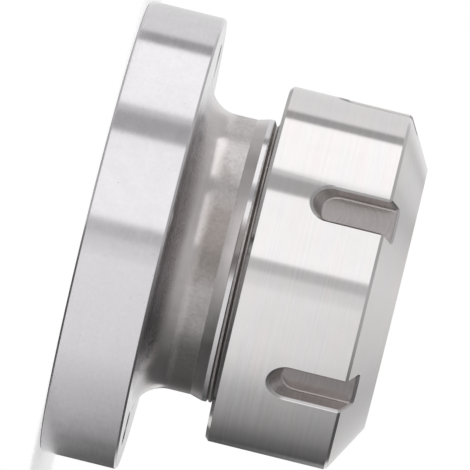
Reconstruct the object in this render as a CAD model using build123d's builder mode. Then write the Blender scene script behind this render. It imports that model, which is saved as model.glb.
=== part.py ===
"""Collet chuck on a mounting flange: a turned body, a clamping nut and a slit collet.

The chuck stands on the back face of its flange. Its axis is Z, the nut is at the top, and the
first bolt hole lies on the X axis. Lengths are in millimetres, angles in degrees.
"""

from build123d import *
import os
from math import cos, radians, sin, tan

# Mounting flange
flange_diameter = 80.0
flange_thickness = 13.5
flange_edge = 0.36
register_diameter = 55.0
register_depth = 3.5
register_edge = 0.4
bolt_edge_distance = 7.0
bolt_count = 4
bolt_diameter = 6.0
bolt_mouth = 0.3

# Neck, collar and threaded nose
neck_diameter = 48.8
neck_length = 9.35
neck_fillet = 5.5
ramp_length = 2.1
collar_width = 0.75
thread_diameter = 50.0
thread_pitch = 1.5
thread_depth_per_pitch = 0.6134
thread_flank_angle = 30.0
nose_edge = 0.8
socket_edge = 0.5
back_bore_diameter = 31.0

# Clamping nut
nut_gap = 1.4
nut_length = 26.2
nut_diameter = 63.0
nut_back_edge = 0.6
nut_face_diameter = 46.0
nut_cone_height = 4.8
nut_cone_edge = 0.35
nut_opening_diameter = 37.2
nut_opening_edge = 0.4
nut_entry_edge = 1.0
thread_clearance = 0.05
thread_relief_depth = 0.35
thread_relief_width = 2.0
nut_turned_from_bolts = 13.85

# Spanner slots of the nut
spanner_slot_count = 6
spanner_slot_width = 6.0
spanner_slot_depth = 3.1
spanner_slot_start = 8.4
spanner_slot_lean = 31.0
spanner_slot_corner = 0.35
spanner_slot_edge = 0.43

# Collet
collet_length = 46.0
collet_diameter = 41.0
collet_bore = 20.0
collet_taper = 8.0
collet_head_length = 7.66
collet_head_diameter = 40.0
collet_face_diameter = 36.0
collet_groove_diameter = 36.2
collet_groove_width = 2.2
collet_groove_start = 1.26
collet_recess = 0.3
collet_stand_out = 0.85
collet_edge = 0.4
seat_angle = 30.0
saw_cut_count = 8
saw_cut_width = 1.2
saw_radius = 31.5
front_cut_rest = 7.5
rear_cut_rest = 11.5

# Fits between the pieces
cone_clearance = 0.05
seat_clearance = 0.1
head_clearance = 0.5
lip_clearance = 0.4
lip_bore_clearance = 0.2
lip_offset = 1.1

# Radii that the sizes above give
flange_radius = flange_diameter / 2
bolt_circle_radius = flange_radius - bolt_edge_distance
neck_radius = neck_diameter / 2
thread_radius = thread_diameter / 2
thread_root_radius = thread_radius - thread_depth_per_pitch * thread_pitch
thread_bore_radius = thread_radius + thread_clearance
nut_radius = nut_diameter / 2
collet_radius = collet_diameter / 2
collet_bore_radius = collet_bore / 2
head_radius = collet_head_diameter / 2
groove_radius = collet_groove_diameter / 2

# Stations along the axis, from the back face of the flange upwards
ramp_start = flange_thickness + neck_length
collar_start = ramp_start + ramp_length
collar_end = collar_start + collar_width
thread_start = collar_end + (thread_radius - thread_root_radius) * tan(radians(thread_flank_angle))
nut_back = collar_end + nut_gap
nut_front = nut_back + nut_length
collet_front = nut_front - collet_recess
collet_rear = collet_front - collet_length
collet_widest = collet_front - collet_head_length
groove_back = collet_widest + collet_groove_start
groove_front = groove_back + collet_groove_width
seat_start = collet_front - (head_radius - collet_face_diameter / 2) / tan(radians(seat_angle))
nose_face = collet_widest - collet_stand_out
lip_back = groove_back + lip_clearance
lip_front = groove_front - lip_clearance


def taper_radius(height, clearance=0.0):
    """Radius of the long clamping cone at a height, moved outwards by a clearance."""
    lean = radians(collet_taper)
    return collet_radius - (collet_widest - height) * tan(lean) + clearance / cos(lean)


def seat_height(radius, clearance=0.0):
    """Height where the steep front cone, moved outwards by a clearance, has a radius."""
    lean = radians(seat_angle)
    return seat_start + (head_radius + clearance / cos(lean) - radius) / tan(lean)


# Chuck body, turned outside and then bored
with BuildPart() as chuck_body:
    with BuildSketch(Plane.XZ):
        with BuildLine():
            Polyline(
                (0, 0),
                (flange_radius - flange_edge, 0),
                (flange_radius, flange_edge),
                (flange_radius, flange_thickness - flange_edge),
                (flange_radius - flange_edge, flange_thickness),
                (neck_radius + neck_fillet, flange_thickness),
            )
            CenterArc(
                (neck_radius + neck_fillet, flange_thickness + neck_fillet),
                radius=neck_fillet,
                start_angle=180,
                arc_size=90,
            )
            Polyline(
                (neck_radius, flange_thickness + neck_fillet),
                (neck_radius, ramp_start),
                (thread_radius, collar_start),
                (thread_radius, collar_end),
                (thread_root_radius, thread_start),
                (thread_root_radius, nose_face - nose_edge),
                (thread_root_radius - nose_edge, nose_face),
                (0, nose_face),
                (0, 0),
            )
        make_face()
    revolve(axis=Axis.Z)

    # Recess in the back that centres the flange on its back plate
    with BuildSketch(Plane.XY):
        Circle(register_diameter / 2)
    extrude(amount=register_depth, mode=Mode.SUBTRACT)
    register_mouth = chuck_body.edges().filter_by(GeomType.CIRCLE).filter_by_position(Axis.Z, 0, 0)
    chamfer(register_mouth.sort_by(SortBy.RADIUS)[0], length=register_edge)

    # Tapered socket, open at the back through a straight bore
    socket_mouth_radius = taper_radius(nose_face, cone_clearance)
    back_bore_radius = back_bore_diameter / 2
    bore_overlap = back_bore_radius - taper_radius(collet_rear, cone_clearance)
    bore_top = collet_rear + bore_overlap / tan(radians(collet_taper))
    with BuildSketch(Plane.XZ):
        with BuildLine():
            Polyline(
                (0, 0),
                (back_bore_radius, 0),
                (back_bore_radius, bore_top),
                (taper_radius(nose_face - socket_edge, cone_clearance), nose_face - socket_edge),
                (socket_mouth_radius + socket_edge, nose_face),
                (0, nose_face),
                (0, 0),
            )
        make_face()
    revolve(axis=Axis.Z, mode=Mode.SUBTRACT)

    # Tapped bolt holes, countersunk at both mouths
    with PolarLocations(bolt_circle_radius, bolt_count):
        Hole(bolt_diameter / 2)
    bolt_mouths = chuck_body.edges(Select.NEW).filter_by(GeomType.CIRCLE)
    chamfer(bolt_mouths, length=bolt_mouth)

chuck_body.part.label = "chuck_body"

# Cutter with the shape of one spanner slot, lying along the X axis at the nut's rim. Its round
# end leans, so that the slot is longer at the rim than on its floor.
slot_lean = radians(spanner_slot_lean)
slot_floor_radius = nut_radius - spanner_slot_depth
slot_corner_radius = slot_floor_radius + spanner_slot_corner
slot_rim_centre = nut_back + spanner_slot_start + spanner_slot_width / 2
with BuildPart() as slot_cutter:
    slot_floor_centre = (slot_floor_radius, 0, slot_rim_centre + spanner_slot_depth * tan(slot_lean))
    with BuildSketch(Plane(origin=slot_floor_centre, x_dir=(0, 1, 0), z_dir=(1, 0, 0))):
        Circle(spanner_slot_width / 2)
        Rectangle(spanner_slot_width, nut_length, align=(Align.CENTER, Align.MIN))
    extrude(amount=2 * spanner_slot_depth, dir=(cos(slot_lean), 0, -sin(slot_lean)))
    slot_floor = slot_cutter.faces().sort_by(Axis.X)[0]
    fillet(slot_floor.edges(), radius=spanner_slot_corner)

# Clamping nut
with BuildPart() as clamping_nut:
    with BuildSketch(Plane.XZ):
        with BuildLine():
            Polyline(
                (0, nut_back),
                (nut_radius - nut_back_edge, nut_back),
                (nut_radius, nut_back + nut_back_edge),
                (nut_radius, nut_front - nut_cone_height),
                (nut_face_diameter / 2, nut_front),
                (0, nut_front),
                (0, nut_back),
            )
        make_face()
    revolve(axis=Axis.Z)

    cone_rims = clamping_nut.edges().filter_by(GeomType.CIRCLE).group_by(Axis.Z)
    chamfer(cone_rims[-2], length=nut_cone_edge)

    # Spanner slots, milled from the rim and open through the front cone
    with PolarLocations(0, spanner_slot_count, start_angle=nut_turned_from_bolts):
        add(slot_cutter.part, mode=Mode.SUBTRACT)
    slot_rims = clamping_nut.edges(Select.NEW).filter_by(
        lambda edge: (edge @ 0.5 - Vector(0, 0, (edge @ 0.5).Z)).length > slot_corner_radius
    )
    chamfer(slot_rims, length=spanner_slot_edge)

    # Threaded bore with its relief groove
    relief_radius = thread_bore_radius + thread_relief_depth
    relief_start = lip_back - thread_relief_width
    with BuildSketch(Plane.XZ):
        with BuildLine():
            Polyline(
                (0, nut_back),
                (thread_bore_radius + nut_entry_edge, nut_back),
                (thread_bore_radius, nut_back + nut_entry_edge),
                (thread_bore_radius, relief_start),
                (relief_radius, relief_start + thread_relief_depth),
                (relief_radius, lip_back),
                (0, lip_back),
                (0, nut_back),
            )
        make_face()
    revolve(axis=Axis.Z, mode=Mode.SUBTRACT)

    # Off-centre lip that catches the collet's groove on one side
    with BuildSketch(Plane.XY.offset(lip_back)):
        with Locations((lip_offset, 0)):
            Circle(head_radius + lip_bore_clearance)
    extrude(amount=lip_front - lip_back, mode=Mode.SUBTRACT)

    # Room for the collet's head, its seat and the front opening
    chamber_radius = head_radius + head_clearance
    opening_radius = nut_opening_diameter / 2
    with BuildSketch(Plane.XZ):
        with BuildLine():
            Polyline(
                (0, lip_front),
                (chamber_radius, lip_front),
                (chamber_radius, seat_height(chamber_radius, seat_clearance)),
                (opening_radius, seat_height(opening_radius, seat_clearance)),
                (opening_radius, nut_front - nut_opening_edge),
                (opening_radius + nut_opening_edge, nut_front),
                (0, nut_front),
                (0, lip_front),
            )
        make_face()
    revolve(axis=Axis.Z, mode=Mode.SUBTRACT)

clamping_nut.part.label = "clamping_nut"

# Cutters with the shape of one saw cut, from the front and from the rear end of the collet
cut_inside = collet_bore_radius / 2
cut_outside = collet_radius + saw_cut_width
with BuildPart() as front_saw_cut:
    with BuildSketch(Plane.XZ):
        with BuildLine():
            Polyline(
                (cut_inside, collet_rear + front_cut_rest),
                (cut_inside, collet_front + saw_cut_width),
                (cut_outside, collet_front + saw_cut_width),
                (cut_outside, collet_rear + front_cut_rest),
            )
            RadiusArc(
                (cut_outside, collet_rear + front_cut_rest),
                (cut_inside, collet_rear + front_cut_rest),
                saw_radius,
            )
        make_face()
    extrude(amount=saw_cut_width / 2, both=True)

with BuildPart() as rear_saw_cut:
    with BuildSketch(Plane.XZ):
        with BuildLine():
            Polyline(
                (cut_inside, collet_front - rear_cut_rest),
                (cut_inside, collet_rear - saw_cut_width),
                (cut_outside, collet_rear - saw_cut_width),
                (cut_outside, collet_front - rear_cut_rest),
            )
            RadiusArc(
                (cut_inside, collet_front - rear_cut_rest),
                (cut_outside, collet_front - rear_cut_rest),
                saw_radius,
            )
        make_face()
    extrude(amount=saw_cut_width / 2, both=True)

# Collet, turned, bored and then slit from both ends
with BuildPart() as collet:
    with BuildSketch(Plane.XZ):
        with BuildLine():
            Polyline(
                (collet_bore_radius + collet_edge, collet_rear),
                (taper_radius(collet_rear) - collet_edge, collet_rear),
                (taper_radius(collet_rear + collet_edge), collet_rear + collet_edge),
                (collet_radius, collet_widest),
                (groove_radius, groove_back),
                (groove_radius, groove_front),
                (head_radius, groove_front),
                (head_radius, seat_start),
                (collet_face_diameter / 2, collet_front),
                (collet_bore_radius + collet_edge, collet_front),
                (collet_bore_radius, collet_front - collet_edge),
                (collet_bore_radius, collet_rear + collet_edge),
                (collet_bore_radius + collet_edge, collet_rear),
            )
        make_face()
    revolve(axis=Axis.Z)

    with PolarLocations(0, saw_cut_count):
        add(front_saw_cut.part, mode=Mode.SUBTRACT)
    with PolarLocations(0, saw_cut_count, start_angle=180 / saw_cut_count):
        add(rear_saw_cut.part, mode=Mode.SUBTRACT)

collet.part.label = "collet"

os.makedirs("parts", exist_ok=True)
export_step(chuck_body.part, "parts/chuck_body.step")
export_step(clamping_nut.part, "parts/clamping_nut.step")
export_step(collet.part, "parts/collet.step")
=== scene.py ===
"""Looks of the collet chuck: its steel, its threads, the studio and the camera."""

import math

import bmesh
import bpy
from mathutils import Matrix


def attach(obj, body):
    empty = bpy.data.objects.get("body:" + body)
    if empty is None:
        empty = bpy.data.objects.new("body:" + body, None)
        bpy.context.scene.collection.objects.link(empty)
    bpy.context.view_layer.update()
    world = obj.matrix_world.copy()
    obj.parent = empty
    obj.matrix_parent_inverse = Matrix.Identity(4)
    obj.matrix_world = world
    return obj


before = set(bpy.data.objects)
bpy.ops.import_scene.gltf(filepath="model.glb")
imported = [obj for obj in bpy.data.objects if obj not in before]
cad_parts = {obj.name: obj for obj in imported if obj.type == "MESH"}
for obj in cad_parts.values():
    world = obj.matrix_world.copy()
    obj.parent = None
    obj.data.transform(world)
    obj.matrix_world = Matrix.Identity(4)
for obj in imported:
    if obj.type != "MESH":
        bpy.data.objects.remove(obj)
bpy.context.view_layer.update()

MM = 0.001
WHITE = (1, 1, 1, 1)
BLACK = (0, 0, 0, 1)

# Camera, as the photograph was taken
camera_turn = math.radians(8.5)
camera_tilt = math.radians(1.27596)
camera_roll = math.radians(103.7908)
camera_distance = 1001.88 * MM
camera_right = -8.172 * MM
camera_up = 6.261 * MM
camera_aim_height = 33.14 * MM
camera_lens = 444.55
camera_sensor = 36.0
camera_clip_start = 0.05
camera_clip_end = 20

# Studio round the object, in bands one above the other. Each list goes round it: degrees from
# the camera, positive towards the photograph's top, and how bright that side is
dome_radius = 2.4
dome_segments = 64
dome_rings = 32
dome_high = (
    (-180, 0.80), (-160, 0.50), (-150, 0.16), (-140, 0.11), (-108, 0.11), (-80, 0.23),
    (-60, 0.38), (-40, 0.50), (0, 0.58), (40, 0.50), (80, 0.54), (120, 0.64), (142, 0.66),
    (160, 0.80), (180, 0.80),
)
dome_middle = (
    (-180, 0.10), (-150, 0.10), (-130, 0.19), (-114, 0.32), (-85, 0.51), (-62, 0.88),
    (-48, 1.04), (-14, 1.13), (-11, 1.03), (-4, 0.96), (-2, 0.70), (4, 0.66), (5, 0.78),
    (48, 0.78), (50, 0.54), (59, 0.52), (62, 0.88), (65, 0.66), (108, 0.66), (110, 0.47),
    (117, 0.45), (120, 1.0), (150, 0.88), (180, 0.78),
)
dome_low = (
    (-180, 0.24), (-150, 0.32), (-130, 0.44), (-114, 0.85), (-100, 1.16), (-85, 1.36),
    (-62, 1.60), (-48, 1.50), (-14, 1.42), (-11, 1.18), (-4, 1.0), (-2, 0.72), (4, 0.70),
    (5, 0.80), (48, 0.80), (50, 0.54), (59, 0.52), (62, 0.88), (65, 0.66), (108, 0.66),
    (110, 0.47), (117, 0.45), (120, 1.0), (150, 0.85), (180, 0.65),
)
dome_bottom = (
    (-180, 0.20), (-120, 0.06), (-80, 0.08), (-50, 0.25), (-20, 0.62), (5, 0.92),
    (35, 0.88), (60, 0.50), (90, 0.36), (120, 0.60), (150, 0.62), (180, 0.34),
)
# Where the middle band passes into each of the others, in degrees above the floor's level
high_band = (2, 6)
low_band = (-2.0, -3.6)
bottom_band = (-6.5, -11)

# Two soft boxes: first and last degree round the object, and brightness. The other pairs are
# the degrees above the floor's level between which the boxes fade in and out. The gain, which
# begins at the crown, is cut off at full brightness, so it only shortens the fade at the top
soft_boxes = ((4, 49, 0.58), (64, 109, 0.76))
soft_box_edge = 1
soft_box_foot = (-16, -11)
soft_box_top = (23, 15)
soft_box_crown = (6, 11)
soft_box_gain = 1.6

# What hangs behind the chuck, one list for the photograph's top and one for its bottom:
# degrees above the floor's level, and how bright it is. Each begins between two angles from
# the camera, and both begin between two heights
back_upper = (
    (0, 0.80), (5, 0.86), (14, 0.92), (20, 0.84), (26, 0.66), (29, 0.74), (33, 0.95),
    (38, 0.98), (43, 0.90), (46, 0.82), (47.5, 0.42), (49.5, 0.42), (51.5, 0.74),
    (55, 0.88), (58, 1.16), (62, 1.08), (70, 1.0), (90, 0.80),
)
back_lower = (
    (0, 0.85), (4, 0.90), (9, 0.82), (14, 0.76), (27, 0.78), (40, 0.86), (46, 1.05),
    (54, 1.15), (58.5, 1.15), (60, 0.90), (90, 0.80),
)
back_upper_side = (148, 156)
back_lower_side = (150, 158)
back_band = (0, 4)

# Floor: a flat ring that begins just under the flange's edge. It shows near the middle of
# either disc, and fades out between two distances from both
floor_hole = 0.0398
floor_edge = 0.090
floor_steps = 128
floor_fade_start = 0.037
floor_reach = 0.054
# Where the discs' middles lie: degrees from the camera, and how far from the axis
floor_discs = ((150, 0.010), (-128, 0.030))
floor_level = 0.95
floor_glow = 0.38

# Sizes that the finishes and the threads follow, in millimetres
flange_face = 13.5
neck_start = 19.0
ramp_start = 22.85
collar_end = 25.7
nose_root = 24.08
nose_crest = 24.97
nose_thread_start = 25.255
nose_thread_end = 43.6
nut_back = 27.1
nut_radius = 31.5
nut_bore = 25.05
nut_thread_crest = 24.19
nut_thread_start = 28.75
nut_thread_end = 44.4
cone_start = 48.5
cone_slope = 8.5 / 4.8
slot_count = 6
slot_floor = 28.4
slot_edge = 0.43
slot_turn = 13.85
slot_round = 3.0
thread_pitch = 1.5
bolt_count = 4
bolt_circle = 33.0
bolt_radius = 3.0
bolt_crest = 2.5
bolt_pitch = 1.0
bolt_thread_start = 0.6
bolt_thread_end = 12.9
# A radius between the socket's wall and the neck's outside
outer_wall = 20

# Colours of the body's finishes, with painted light on the flange face and painted shade on one
# side of the neck, on the thread and in the holes
turned_colour = (0.640, 0.624, 0.640, 1)
waist_colour = (0.662, 0.622, 0.620, 1)
neck_colour = (0.640, 0.610, 0.608, 1)
lit_face_colour = (0.800, 0.795, 0.800, 1)
smudge_colour = (0.555, 0.520, 0.508, 1)
stain_colour = (0.410, 0.370, 0.352, 1)
neck_shade_colour = (0.280, 0.264, 0.262, 1)
spot_colour = (0.220, 0.200, 0.195, 1)
thread_shade_colour = (0.42, 0.392, 0.380, 1)
hole_shade_colour = (0.08, 0.075, 0.072, 1)
# Colours of the nut's finishes, with painted shade for its bore, and of the collet
nut_cool_colour = (0.652, 0.654, 0.672, 1)
nut_warm_colour = (0.690, 0.648, 0.630, 1)
bevel_colour = (0.52, 0.505, 0.505, 1)
slot_colour = (0.54, 0.506, 0.498, 1)
bore_shade_colour = (0.28, 0.26, 0.255, 1)
collet_colour = (0.62, 0.605, 0.61, 1)

# How rough each steel is before its marks, and how far its highlights are drawn out
body_roughness = 0.17
nut_roughness = 0.125
collet_roughness = 0.18
turned_anisotropy = 0.8
ground_anisotropy = 0.3
anisotropy_turn = 0.25
# How much closer the turning marks lie on a face than on a cylinder
outline_slope = 1.4

# How far a thread's ridge is sunk into its wall, and how high it is at its very ends, both as
# a share of its full height
thread_sunk = 0.05
thread_least = 0.02

# Sockets of a mix node for its share, its two colours and their mixture
mix_share, mix_first, mix_second, mix_result = 0, 6, 7, 2


# Camera

def make_camera():
    """Nearly level, with a long lens, rolled so that the chuck's axis points right and down."""
    turn = Matrix.Rotation(camera_turn, 4, "Z")
    tilt = Matrix.Rotation(math.pi / 2 - camera_tilt, 4, "X")
    roll = Matrix.Rotation(camera_roll, 4, "Z")
    aim = Matrix.Translation((0, 0, camera_aim_height))
    back_off = Matrix.Translation((camera_right, camera_up, camera_distance))
    data = bpy.data.cameras.new("camera")
    data.lens = camera_lens
    data.sensor_width = camera_sensor
    data.clip_start = camera_clip_start
    data.clip_end = camera_clip_end
    camera = bpy.data.objects.new("camera", data)
    camera.matrix_world = aim @ turn @ tilt @ roll @ back_off
    bpy.context.scene.collection.objects.link(camera)
    bpy.context.scene.camera = camera


# Node helpers

def grey(level):
    return (level, level, level, 1)


class Graph:
    """A material's or the world's node tree, with short calls for its nodes."""

    def __init__(self, owner):
        owner.use_nodes = True
        self.tree = owner.node_tree
        self.tree.nodes.clear()

    def node(self, kind, **settings):
        made = self.tree.nodes.new(kind)
        for name, value in settings.items():
            setattr(made, name, value)
        return made

    def put(self, socket, value):
        """Links a socket to another, or sets its value."""
        if isinstance(value, bpy.types.NodeSocket):
            self.tree.links.new(value, socket)
        else:
            socket.default_value = value

    def fill(self, made, *values):
        """Puts values into a node's inputs in their order, and gives its first output."""
        for socket, value in zip(made.inputs, values):
            self.put(socket, value)
        return made.outputs[0]

    def show(self, shader, kind="ShaderNodeOutputMaterial"):
        """Makes a shader the surface of the material or the world."""
        self.put(self.node(kind).inputs["Surface"], shader.outputs[0])

    def math(self, operation, first, second=0.0, third=0.0):
        return self.fill(self.node("ShaderNodeMath", operation=operation), first, second, third)

    def times(self, *factors):
        product = factors[0]
        for factor in factors[1:]:
            product = self.math("MULTIPLY", product, factor)
        return product

    def plus(self, *terms):
        total = terms[0]
        for term in terms[1:]:
            total = self.math("ADD", total, term)
        return total

    def other(self, share):
        """What a share leaves of the whole."""
        return self.math("SUBTRACT", 1.0, share)

    def fade(self, value, low, high):
        """Smooth step from 0 to 1 as a value goes from one limit to the other."""
        made = self.node("ShaderNodeMapRange", interpolation_type="SMOOTHSTEP")
        return self.fill(made, value, low, high, 0.0, 1.0)

    def combine(self, x, y, z):
        return self.fill(self.node("ShaderNodeCombineXYZ"), x, y, z)

    def noise(self, vector, scale=1.0, detail=2.0, roughness=0.5):
        made = self.node("ShaderNodeTexNoise")
        self.put(made.inputs["Vector"], vector)
        self.put(made.inputs["Scale"], scale)
        self.put(made.inputs["Detail"], detail)
        self.put(made.inputs["Roughness"], roughness)
        return made.outputs[0]

    def ramp(self, value, stops):
        """A grey that changes as a value goes from 0 to 1."""
        made = self.node("ShaderNodeValToRGB")
        elements = made.color_ramp.elements
        while len(elements) > 1:
            elements.remove(elements[-1])
        elements[0].position = stops[0][0]
        elements[0].color = grey(stops[0][1])
        for place, level in stops[1:]:
            elements.new(place).color = grey(level)
        self.put(made.inputs[0], value)
        return made.outputs[0]

    def mix(self, share, first, second, blend="MIX"):
        made = self.node("ShaderNodeMix", data_type="RGBA", blend_type=blend)
        self.put(made.inputs[mix_share], share)
        self.put(made.inputs[mix_first], first)
        self.put(made.inputs[mix_second], second)
        return made.outputs[mix_result]

    def coats(self, colour, *layers):
        """A colour with others laid over it, each where its share says."""
        for share, layer in layers:
            colour = self.mix(share, colour, layer)
        return colour


# Studio

def make_world():
    """Plain white all round."""
    world = bpy.data.worlds.new("white")
    graph = Graph(world)
    background = graph.node("ShaderNodeBackground")
    background.inputs["Color"].default_value = WHITE
    graph.show(background, "ShaderNodeOutputWorld")
    bpy.context.scene.world = world


def make_dome():
    """A dome of white cloth, soft boxes and a dark room, which only the steel and floor see."""
    bpy.ops.mesh.primitive_uv_sphere_add(
        segments=dome_segments, ring_count=dome_rings, radius=dome_radius)
    dome = bpy.context.object
    dome.name = "studio_dome"
    dome.visible_camera = False

    material = bpy.data.materials.new("studio_dome")
    graph = Graph(material)
    turned = graph.node("ShaderNodeVectorRotate", rotation_type="Z_AXIS")
    graph.put(turned.inputs["Vector"], graph.node("ShaderNodeTexCoord").outputs["Object"])
    graph.put(turned.inputs["Angle"], math.pi / 2 - camera_turn)
    split = graph.node("ShaderNodeSeparateXYZ")
    graph.put(split.inputs[0], turned.outputs[0])
    x, y, z = split.outputs
    # Positive towards the photograph's bottom, which is the other way round than in the lists
    angle = graph.math("ARCTAN2", y, x)
    share = graph.math("MULTIPLY_ADD", angle, -0.5 / math.pi, 0.5)
    elevation = graph.math("ARCSINE", graph.math("DIVIDE", z, dome_radius))
    rise = graph.math("DIVIDE", elevation, math.pi / 2)

    def around(places):
        return graph.ramp(share, [((degrees + 180) / 360, level) for degrees, level in places])

    def upwards(places):
        return graph.ramp(rise, [(degrees / 90, level) for degrees, level in places])

    def past(value, limits):
        return graph.fade(value, *(math.radians(degrees) for degrees in limits))

    cloth = around(dome_middle)
    bands = ((high_band, dome_high), (low_band, dome_low), (bottom_band, dome_bottom))
    for limits, places in bands:
        cloth = graph.mix(past(elevation, limits), cloth, around(places))
    backs = ((-1, back_upper_side, back_upper), (1, back_lower_side, back_lower))
    for side, limits, places in backs:
        beside = past(graph.times(angle, side), limits)
        behind = graph.times(beside, past(elevation, back_band))
        cloth = graph.mix(behind, cloth, upwards(places))

    boxes = [(-180, 0.0)]
    for first, last, level in soft_boxes:
        boxes += [(first, 0.0), (first + soft_box_edge, level)]
        boxes += [(last - soft_box_edge, level), (last, 0.0)]
    crown = graph.times(past(elevation, soft_box_crown), soft_box_gain)
    lit = graph.times(
        past(elevation, soft_box_foot), past(elevation, soft_box_top), graph.plus(1.0, crown))
    lamps = graph.mix(lit, BLACK, around(boxes))
    emission = graph.node("ShaderNodeEmission")
    graph.put(emission.inputs["Color"], graph.mix(1.0, cloth, lamps, blend="ADD"))
    graph.show(emission)
    dome.data.materials.append(material)


def make_floor():
    """A pale floor round the object's foot: two discs that fade out, mostly behind it."""
    mesh = bmesh.new()
    turns = [2 * math.pi * step / floor_steps for step in range(floor_steps)]
    inner, outer = (
        [mesh.verts.new((radius * math.cos(turn), radius * math.sin(turn), 0)) for turn in turns]
        for radius in (floor_hole, floor_edge)
    )
    for step in range(floor_steps):
        mesh.faces.new((inner[step - 1], outer[step - 1], outer[step], inner[step]))
    data = bpy.data.meshes.new("floor")
    mesh.to_mesh(data)
    mesh.free()
    floor = bpy.data.objects.new("floor", data)
    bpy.context.scene.collection.objects.link(floor)

    material = bpy.data.materials.new("floor")
    graph = Graph(material)
    place = graph.node("ShaderNodeTexCoord").outputs["Object"]
    clearness = 1.0
    for degrees, shift in floor_discs:
        way = camera_turn - math.pi / 2 - math.radians(degrees)
        distance = graph.node("ShaderNodeVectorMath", operation="DISTANCE")
        graph.put(distance.inputs[0], place)
        graph.put(distance.inputs[1], (shift * math.cos(way), shift * math.sin(way), 0))
        beyond = graph.fade(distance.outputs["Value"], floor_fade_start, floor_reach)
        clearness = graph.times(clearness, beyond)
    diffuse = graph.node("ShaderNodeBsdfDiffuse")
    diffuse.inputs["Color"].default_value = grey(floor_level)
    glow = graph.node("ShaderNodeEmission")
    glow.inputs["Strength"].default_value = floor_glow
    both = graph.node("ShaderNodeAddShader")
    graph.fill(both, diffuse.outputs[0], glow.outputs[0])
    clear = graph.node("ShaderNodeBsdfTransparent")
    mixed = graph.node("ShaderNodeMixShader")
    graph.fill(mixed, clearness, both.outputs[0], clear.outputs[0])
    graph.show(mixed)
    floor.data.materials.append(material)


# Steel

class SteelGraph(Graph):
    """A turned steel's node tree, with the place on the part in millimetres."""

    def __init__(self, name):
        self.material = bpy.data.materials.new(name)
        super().__init__(self.material)
        scaled = self.node("ShaderNodeVectorMath", operation="SCALE")
        self.put(scaled.inputs[0], self.node("ShaderNodeTexCoord").outputs["Object"])
        scaled.inputs["Scale"].default_value = 1 / MM
        split = self.node("ShaderNodeSeparateXYZ")
        self.put(split.inputs[0], scaled.outputs[0])
        self.place = scaled.outputs[0]
        self.x, self.y, self.z = split.outputs
        squares = self.plus(self.times(self.x, self.x), self.times(self.y, self.y))
        self.radius = self.math("SQRT", squares)
        # Runs along any turned outline, so that rings follow the lathe
        self.outline = self.math("MULTIPLY_ADD", self.radius, outline_slope, self.z)

    def towards(self, degrees, near, far, ragged=0.0):
        """1 within some degrees of one way round the axis, fading to 0 farther off."""
        way = math.radians(degrees)
        reach = self.plus(self.times(self.x, math.cos(way)), self.times(self.y, math.sin(way)))
        share = self.plus(self.math("DIVIDE", reach, self.radius), ragged)
        return self.fade(share, math.cos(math.radians(far)), math.cos(math.radians(near)))

    def between(self, value, low, high, soft=0.05):
        """1 where a value lies between two limits, 0 elsewhere."""
        above = self.fade(value, low - soft, low + soft)
        below = self.fade(value, high + soft, high - soft)
        return self.times(above, below)

    def rings(self, per_mm, stretch, detail=2.0):
        """Turning marks: fine rings round the axis, slightly broken along their length."""
        vector = self.combine(self.times(self.x, stretch), self.times(self.y, stretch),
                              self.times(self.outline, per_mm))
        return self.noise(vector, detail=detail)

    def turning(self):
        """Three sizes of turning marks, from fine to ragged."""
        return self.rings(7.0, 0.05, detail=3.0), self.rings(1.3, 0.10), self.rings(3.0, 0.35)

    def mottle(self):
        """Slow changes all over the steel."""
        return self.noise(self.place, scale=0.35, detail=4.0, roughness=0.6)

    def centred(self, value, amount):
        """A noise turned into a small change round zero."""
        return self.times(self.math("SUBTRACT", value, 0.5), amount)

    def shade(self, colour, amount):
        """A colour made lighter or darker by a small change."""
        level = self.plus(1.0, amount)
        return self.mix(1.0, colour, self.combine(level, level, level), blend="MULTIPLY")

    def finish(self, colour, roughness, anisotropy, height):
        """The metal itself, with its highlights drawn out across the turning marks."""
        shader = self.node("ShaderNodeBsdfPrincipled")
        self.put(shader.inputs["Base Color"], colour)
        shader.inputs["Metallic"].default_value = 1
        self.put(shader.inputs["Roughness"], roughness)
        shader.inputs["Anisotropic"].default_value = anisotropy
        shader.inputs["Anisotropic Rotation"].default_value = anisotropy_turn
        tangent = self.node("ShaderNodeTangent", direction_type="RADIAL", axis="Z")
        self.put(shader.inputs["Tangent"], tangent.outputs[0])
        bump = self.node("ShaderNodeBump")
        bump.inputs["Strength"].default_value = 1
        bump.inputs["Distance"].default_value = MM
        self.put(bump.inputs["Height"], height)
        self.put(shader.inputs["Normal"], bump.outputs[0])
        self.show(shader)
        return self.material


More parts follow.
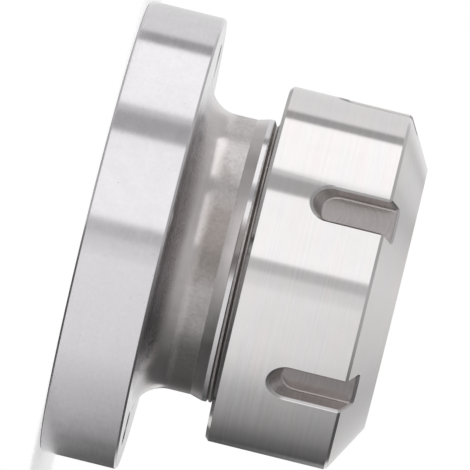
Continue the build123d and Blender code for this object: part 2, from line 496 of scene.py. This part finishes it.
def body_steel():
    """Bright turning on the flange and collar, a rough brownish neck and a thread darkened with
    painted shade.
    """
    graph = SteelGraph("body_steel")
    fine, broad, ragged = graph.turning()
    mottle = graph.mottle()
    speckle = graph.noise(graph.place, scale=1.6, detail=3.0, roughness=0.65)
    patches = graph.noise(graph.place, scale=0.22, detail=4.0, roughness=0.65)
    pits = graph.fade(graph.noise(graph.place, scale=2.6, detail=1.0), 0.755, 0.785)

    # Where the neck, its fillet, the whole waist and the flange's front face lie
    before_ramp = graph.fade(graph.z, ramp_start + 0.05, ramp_start - 0.05)
    uneven = graph.plus(graph.z, graph.centred(mottle, 0.8))
    neck = graph.times(
        graph.fade(uneven, neck_start - 1.4, neck_start + 0.9), before_ramp,
        graph.between(graph.radius, outer_wall, 30))
    fillet = graph.times(
        graph.between(graph.z, flange_face + 0.2, neck_start - 2.4, soft=0.9),
        graph.fade(graph.radius, 31, 29))
    waist = graph.times(
        graph.between(graph.z, flange_face + 1.2, ramp_start + 2.1, soft=0.6),
        graph.between(graph.radius, outer_wall, 29.5, soft=0.5))
    # Painted shade: the bolt holes' walls and threads are darkened almost to black, for the
    # shade inside them
    hole_shade = graph.times(
        graph.between(graph.z, 0.35, flange_face - 0.35),
        graph.between(graph.radius, bolt_circle - bolt_radius - 0.1,
                      bolt_circle + bolt_radius + 0.1))
    # Painted light: the flange's front face is made lighter than the other steel
    face = graph.times(
        graph.between(graph.z, flange_face - 0.2, flange_face + 0.3),
        graph.between(graph.radius, 29.5, 39.2, soft=0.3), graph.other(hole_shade))
    # Painted shade: the nose's thread, in the gap between collar and nut, is darkened in its
    # colour
    thread_shade = graph.times(
        graph.between(graph.z, collar_end + 0.05, nose_thread_end + 0.6),
        graph.between(graph.radius, nose_root - 0.9, nose_crest + 0.02))

    # Oil that has dried on the neck and the collar, and painted shade on one side of the neck
    smudge = graph.times(neck, graph.fade(patches, 0.45, 0.66))
    stain_edge = graph.centred(mottle, 0.03)
    stain = graph.times(neck, graph.towards(-87, near=8, far=21, ragged=stain_edge))
    # Painted shade: the neck and its fillet are darkened on one side, towards -24 degrees
    dark = graph.times(
        graph.fade(graph.z, neck_start - 2.0, neck_start + 0.6), before_ramp,
        graph.towards(-24, near=11, far=28))
    spot = graph.times(
        graph.between(graph.z, ramp_start + 1.9, collar_end),
        graph.towards(-86, near=5, far=14))

    colour = graph.coats(
        turned_colour, (waist, waist_colour), (neck, neck_colour), (face, lit_face_colour),
        (smudge, smudge_colour), (stain, stain_colour), (dark, neck_shade_colour),
        (spot, spot_colour), (thread_shade, thread_shade_colour), (hole_shade, hole_shade_colour))
    colour = graph.shade(colour, graph.plus(
        graph.centred(fine, 0.12), graph.centred(mottle, 0.20), graph.times(pits, -0.3),
        graph.centred(speckle, 0.10), graph.times(neck, graph.centred(speckle, 0.45))))
    roughness = graph.plus(
        body_roughness, graph.centred(fine, 0.08), graph.centred(mottle, 0.08),
        graph.times(neck, 0.23), graph.times(fillet, 0.10), graph.times(thread_shade, 0.20),
        graph.times(hole_shade, 0.30))
    height = graph.plus(
        graph.times(fine, 0.0003), graph.times(broad, 0.0010), graph.times(ragged, 0.002))
    return graph.finish(colour, roughness, turned_anisotropy, height)


def nut_steel():
    """Bright turning on the nut's rim, a coarser front cone and grey milled slots."""
    graph = SteelGraph("nut_steel")
    fine, broad, ragged = graph.turning()
    streak = graph.rings(2.2, 0.03, detail=3.0)
    mottle = graph.mottle()
    grain = graph.noise(graph.place, scale=3.0, detail=4.0, roughness=0.6)

    # Where the slots, their bevelled edges, the cone and the inside lie
    past_cone = graph.math("SUBTRACT", graph.z, cone_start)
    cone_rim = graph.math("MULTIPLY_ADD", past_cone, -cone_slope, nut_radius)
    rim = graph.math("MINIMUM", nut_radius, cone_rim)
    below_rim = graph.math("SUBTRACT", rim, graph.radius)
    slot = graph.times(
        graph.fade(below_rim, slot_edge - 0.06, slot_edge + 0.04),
        graph.between(graph.z, nut_back + 5, cone_start + 3),
        graph.fade(graph.radius, slot_floor - 0.3, slot_floor - 0.1))
    bevel = graph.times(
        graph.between(below_rim, 0.08, slot_edge),
        graph.between(graph.z, nut_back + 5, cone_start - 0.45))
    cone = graph.times(graph.fade(graph.z, cone_start, cone_start + 0.2), graph.other(slot))
    # Painted shade: the nut's bore and its thread are darkened
    inside = graph.times(
        graph.fade(graph.radius, nut_bore + 1.1, nut_bore + 0.9),
        graph.fade(graph.z, nut_thread_end + 3, nut_thread_end))

    # Marks of the milling cutter: arcs on the floor of a slot, and lines along its walls
    turn = graph.math("ARCTAN2", graph.y, graph.x)
    around = graph.math("SUBTRACT", turn, math.radians(slot_turn))
    half_way = math.pi / slot_count
    across = graph.times(graph.radius, graph.math("WRAP", around, half_way, -half_way))
    reach = graph.math("SUBTRACT", slot_round ** 2, graph.times(across, across))
    bow = graph.math("SQRT", graph.math("MAXIMUM", reach, 0.0))
    arc = graph.math("SUBTRACT", graph.z, bow)
    arcs = graph.noise(
        graph.combine(graph.times(across, 0.2), graph.times(arc, 2.6), 0.0), detail=3.0)
    lines = graph.noise(
        graph.combine(graph.times(graph.radius, 4.0), graph.times(graph.z, 0.1), 0.0))

    colour = graph.mix(graph.rings(0.35, 0.06), nut_cool_colour, nut_warm_colour)
    colour = graph.coats(
        colour, (bevel, bevel_colour), (slot, slot_colour), (inside, bore_shade_colour))
    milling = graph.plus(
        graph.centred(grain, 0.25), graph.centred(arcs, 0.35), graph.centred(lines, 0.45))
    colour = graph.shade(colour, graph.plus(
        graph.centred(fine, 0.09), graph.centred(mottle, 0.07), graph.centred(streak, 0.12),
        graph.times(slot, milling)))
    roughness = graph.plus(
        nut_roughness, graph.centred(fine, 0.07), graph.centred(streak, 0.07),
        graph.times(slot, 0.28), graph.times(bevel, 0.18), graph.times(cone, 0.12),
        graph.times(inside, 0.25))
    cuts = graph.plus(graph.times(arcs, 0.006), graph.times(lines, 0.004))
    height = graph.plus(
        graph.times(fine, 0.0002), graph.times(broad, 0.0006), graph.times(ragged, 0.002),
        graph.times(slot, cuts))
    return graph.finish(colour, roughness, turned_anisotropy, height)


def collet_steel():
    """Finely ground spring steel."""
    graph = SteelGraph("collet_steel")
    fine = graph.rings(9.0, 0.05, detail=3.0)
    changes = graph.plus(graph.centred(fine, 0.06), graph.centred(graph.mottle(), 0.08))
    colour = graph.shade(collet_colour, changes)
    roughness = graph.plus(collet_roughness, graph.centred(fine, 0.12))
    return graph.finish(colour, roughness, ground_anisotropy, graph.times(fine, 0.0002))


def dress(node, material):
    """Gives a CAD node its material."""
    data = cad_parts[node].data
    data.materials.clear()
    data.materials.append(material)


# Threads

def thread(name, body, material, *, start, end, pitch, root, crest, root_width,
           crest_width, phase=0.0, runout=1.0, steps=96, centre=(0, 0)):
    """A helical ridge on a round wall, from its root radius to its crest radius.

    Sizes are in millimetres. The ridge rises at its start and falls at its end, each over
    `runout` turns, and has `steps` sections in each turn.
    """
    mesh = bmesh.new()
    turns = (end - start) / pitch
    sunk = root - (crest - root) * thread_sunk
    rows = []
    for step in range(int(turns * steps) + 1):
        turn = step / steps
        angle = 2 * math.pi * turn + phase
        height = start + pitch * turn
        full = max(thread_least, min(turn / runout, (turns - turn) / runout, 1.0))
        reach = root + (crest - root) * full
        top_width = root_width + (crest_width - root_width) * full
        profile = (
            (sunk, -root_width / 2), (reach, -top_width / 2),
            (reach, top_width / 2), (sunk, root_width / 2),
        )
        rows.append([
            mesh.verts.new(((centre[0] + radius * math.cos(angle)) * MM,
                            (centre[1] + radius * math.sin(angle)) * MM,
                            (height + shift) * MM))
            for radius, shift in profile
        ])
    for first, second in zip(rows, rows[1:]):
        for side in range(len(first)):
            after = (side + 1) % len(first)
            mesh.faces.new((first[side], second[side], second[after], first[after]))
    mesh.faces.new(rows[0])
    mesh.faces.new(list(reversed(rows[-1])))
    bmesh.ops.recalc_face_normals(mesh, faces=mesh.faces)
    data = bpy.data.meshes.new(name)
    mesh.to_mesh(data)
    mesh.free()
    data.materials.append(material)
    made = bpy.data.objects.new(name, data)
    bpy.context.scene.collection.objects.link(made)
    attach(made, body)


make_camera()
make_world()
make_dome()
make_floor()
body_material = body_steel()
nut_material = nut_steel()
dress("chuck_body", body_material)
dress("clamping_nut", nut_material)
dress("collet", collet_steel())

# The nose's thread begins inside the collar, and the nut's runs in its grooves
thread("nose_thread", "holder", body_material,
       start=nose_thread_start, end=nose_thread_end, pitch=thread_pitch,
       root=nose_root, crest=nose_crest, root_width=1.30, crest_width=0.36,
       phase=math.radians(-261.5), runout=0.25)
thread("nut_thread", "nut", nut_material,
       start=nut_thread_start, end=nut_thread_end, pitch=thread_pitch,
       root=nut_bore, crest=nut_thread_crest, root_width=1.05, crest_width=0.20,
       phase=math.radians(37.3))
for number in range(bolt_count):
    angle = 2 * math.pi / bolt_count * number
    thread(f"bolt_thread_{number + 1}", "holder", body_material,
           start=bolt_thread_start, end=bolt_thread_end, pitch=bolt_pitch,
           root=bolt_radius, crest=bolt_crest, root_width=0.85, crest_width=0.15, steps=40,
           centre=(bolt_circle * math.cos(angle), bolt_circle * math.sin(angle)))

bpy.context.scene.view_settings.view_transform = "Standard"
